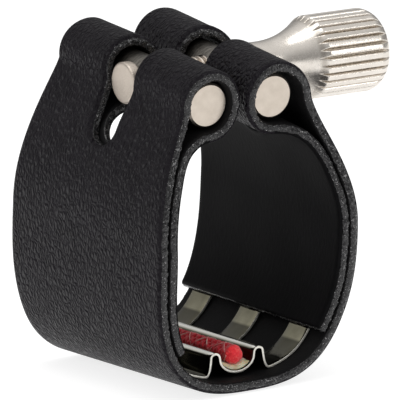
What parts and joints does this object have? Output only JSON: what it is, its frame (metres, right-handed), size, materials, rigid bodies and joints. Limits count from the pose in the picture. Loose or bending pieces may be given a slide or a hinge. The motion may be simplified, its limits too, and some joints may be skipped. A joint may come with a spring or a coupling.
{
  "type": "saxophone ligature",
  "caption": "Leather ligature that clamps a reed to a saxophone mouthpiece, with two cross barrels, a knurled clamping knob and a ribbed metal reed plate.",
  "frame": {"origin": "on the mouthpiece's axis, in the plane of the clamping stud, 13 mm above the rails' crests", "axes": "+X across, towards the knob; +Y along the mouthpiece, away from its tip; +Z from the reed towards the barrels"},
  "size_m": [0.0418, 0.032, 0.0418],
  "materials": {
    "leather": "black grained leather, semi-matt",
    "lining": "smooth black leather",
    "nickel": "satin nickel plate",
    "plate": "bright nickel-plated sheet",
    "cord": "crimson braid",
    "adhesive": "set clear adhesive"
  },
  "bodies": {
    "base": {"strap_base": "leather", "reed_plate": "plate", "resonator_cord": "cord", "cord_adhesive": "adhesive"},
    "left_flank": {"strap_left_flank": "leather", "strap_left_lining": "lining"},
    "right_flank": {"strap_right_flank": "leather", "strap_right_lining": "lining"},
    "left_clamp": {"left_barrel": "nickel", "clamp_stud": "nickel"},
    "right_clamp": {"right_barrel": "nickel"},
    "knob": {"knob": "nickel"}
  },
  "joints": [
    {"name": "left_flex", "type": "hinge", "parent": "base", "child": "left_flank", "pos_m": [-0.01227, 0, -0.0103], "axis": [0.0242, -0.9916, -0.1271], "range_deg": [0, 7]},
    {"name": "right_flex", "type": "hinge", "parent": "base", "child": "right_flank", "pos_m": [0.01227, 0, -0.0103], "axis": [0.0242, 0.9916, 0.1271], "range_deg": [0, 7]},
    {"name": "left_barrel_turn", "type": "hinge", "parent": "left_flank", "child": "left_clamp", "pos_m": [-0.00478, 0, 0.0184], "axis": [-0.0242, 0.9916, 0.1271], "range_deg": [0, 7]},
    {"name": "right_barrel_turn", "type": "hinge", "parent": "right_flank", "child": "right_clamp", "pos_m": [0.00478, 0, 0.0184], "axis": [-0.0242, -0.9916, -0.1271], "range_deg": [0, 7]},
    {"name": "knob_turn", "type": "hinge", "parent": "right_clamp", "child": "knob", "pos_m": [0.00478, 0, 0.0184], "axis": [1, 0, 0], "range_deg": [0, 3600]}
  ],
  "couplings": [
    {"joint": "left_flex", "follows": "knob_turn", "ratio": 0.0019444},
    {"joint": "right_flex", "follows": "knob_turn", "ratio": 0.0019444},
    {"joint": "left_barrel_turn", "follows": "knob_turn", "ratio": 0.0019444},
    {"joint": "right_barrel_turn", "follows": "knob_turn", "ratio": 0.0019444}
  ]
}
